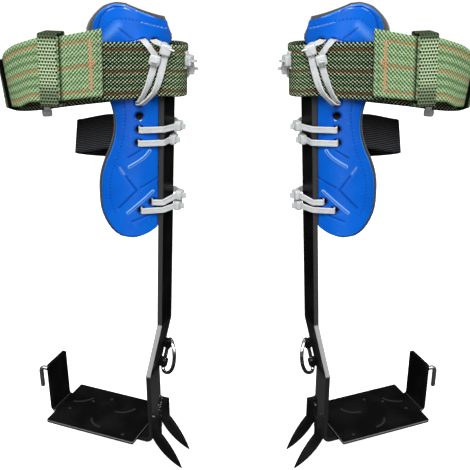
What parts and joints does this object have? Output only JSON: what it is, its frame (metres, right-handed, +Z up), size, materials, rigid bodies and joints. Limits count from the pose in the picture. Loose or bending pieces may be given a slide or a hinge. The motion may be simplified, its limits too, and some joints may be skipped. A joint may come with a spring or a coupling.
{
  "type": "pair of tree climbing spikes",
  "caption": "Mirrored climbing spikes: bent flat shanks with foot plate, twin gaffs, swinging D ring, tied-on shin pad and webbing calf strap with hook-and-loop flap.",
  "frame": {"origin": "on the ground below the middle of the pair, level with the front gaff points", "axes": "+Z up, +X from the left-hand spike in the picture to the right-hand one, +Y away from the viewer"},
  "size_m": [0.4496, 0.1346, 0.4969],
  "materials": {
    "black_paint": "semi-gloss black enamel",
    "bright_chrome": "bright plated",
    "blue_plastic": "glossy royal blue moulding",
    "liner_fabric": "dark knitted cover over foam",
    "elastic_band": "ribbed black elastic",
    "green_webbing": "woven light green webbing with orange lines",
    "hook_tape": "hook tape",
    "loop_tape": "napped loop tape",
    "clear_nylon": "translucent natural nylon"
  },
  "bodies": {
    "left_spike": {"left_foot_plate": "black_paint", "left_shank": "black_paint", "left_front_gaff": "black_paint", "left_rear_gaff": "black_paint", "left_gaff_welds": "black_paint", "left_plate_welds": "black_paint", "left_ring_lugs": "black_paint", "left_strap_hook": "bright_chrome", "left_hook_weld": "black_paint", "left_shin_shell": "blue_plastic", "left_shin_liner": "liner_fabric", "left_shin_elastic": "elastic_band", "left_calf_strap": "green_webbing", "left_strap_loop_patch": "loop_tape", "left_mid_tie_upper": "clear_nylon", "left_mid_tie_lower": "clear_nylon", "left_low_tie_upper": "clear_nylon", "left_low_tie_lower": "clear_nylon", "left_strap_tie_inner": "clear_nylon", "left_strap_tie_outer": "clear_nylon", "left_side_tie_front": "clear_nylon", "left_side_tie_rear": "clear_nylon", "left_rear_tie": "clear_nylon"},
    "left_d_ring": {"left_d_ring": "bright_chrome"},
    "left_strap_flap": {"left_strap_flap": "green_webbing", "left_flap_hook_patch": "hook_tape"},
    "left_strap_keeper": {"left_strap_keeper": "green_webbing"},
    "right_spike": {"right_foot_plate": "black_paint", "right_shank": "black_paint", "right_front_gaff": "black_paint", "right_rear_gaff": "black_paint", "right_gaff_welds": "black_paint", "right_plate_welds": "black_paint", "right_ring_lugs": "black_paint", "right_strap_hook": "bright_chrome", "right_hook_weld": "black_paint", "right_shin_shell": "blue_plastic", "right_shin_liner": "liner_fabric", "right_shin_elastic": "elastic_band", "right_calf_strap": "green_webbing", "right_strap_loop_patch": "loop_tape", "right_mid_tie_upper": "clear_nylon", "right_mid_tie_lower": "clear_nylon", "right_low_tie_upper": "clear_nylon", "right_low_tie_lower": "clear_nylon", "right_strap_tie_inner": "clear_nylon", "right_strap_tie_outer": "clear_nylon", "right_side_tie_front": "clear_nylon", "right_side_tie_rear": "clear_nylon", "right_rear_tie": "clear_nylon"},
    "right_d_ring": {"right_d_ring": "bright_chrome"},
    "right_strap_flap": {"right_strap_flap": "green_webbing", "right_flap_hook_patch": "hook_tape"},
    "right_strap_keeper": {"right_strap_keeper": "green_webbing"}
  },
  "joints": [
    {"name": "left_ring_swing", "type": "hinge", "parent": "left_spike", "child": "left_d_ring", "pos_m": [-0.07528, -0.02101, 0.132], "axis": [0.2228, -0.0887, 0.9708], "range_deg": [-55, 155]},
    {"name": "left_flap_peel", "type": "hinge", "parent": "left_spike", "child": "left_strap_flap", "pos_m": [-0.15175, -0.06423, 0.44237], "axis": [-0.047, 0.0187, -0.9987], "range_deg": [0, 110]},
    {"name": "left_keeper_slide", "type": "slide", "parent": "left_spike", "child": "left_strap_keeper", "axis": [-0.9989, -0.0004, 0.047], "range_m": [0, 0.008]},
    {"name": "right_spike_apart", "type": "slide", "parent": "left_spike", "child": "right_spike", "axis": [1, 0, 0], "range_m": [0, 0.2]},
    {"name": "right_ring_swing", "type": "hinge", "parent": "right_spike", "child": "right_d_ring", "pos_m": [0.07528, -0.02101, 0.132], "axis": [0.2228, 0.0887, -0.9708], "range_deg": [-55, 155]},
    {"name": "right_flap_peel", "type": "hinge", "parent": "right_spike", "child": "right_strap_flap", "pos_m": [0.15175, -0.06423, 0.44237], "axis": [-0.047, -0.0187, 0.9987], "range_deg": [0, 110]},
    {"name": "right_keeper_slide", "type": "slide", "parent": "right_spike", "child": "right_strap_keeper", "axis": [0.9989, -0.0004, 0.047], "range_m": [0, 0.008]}
  ]
}
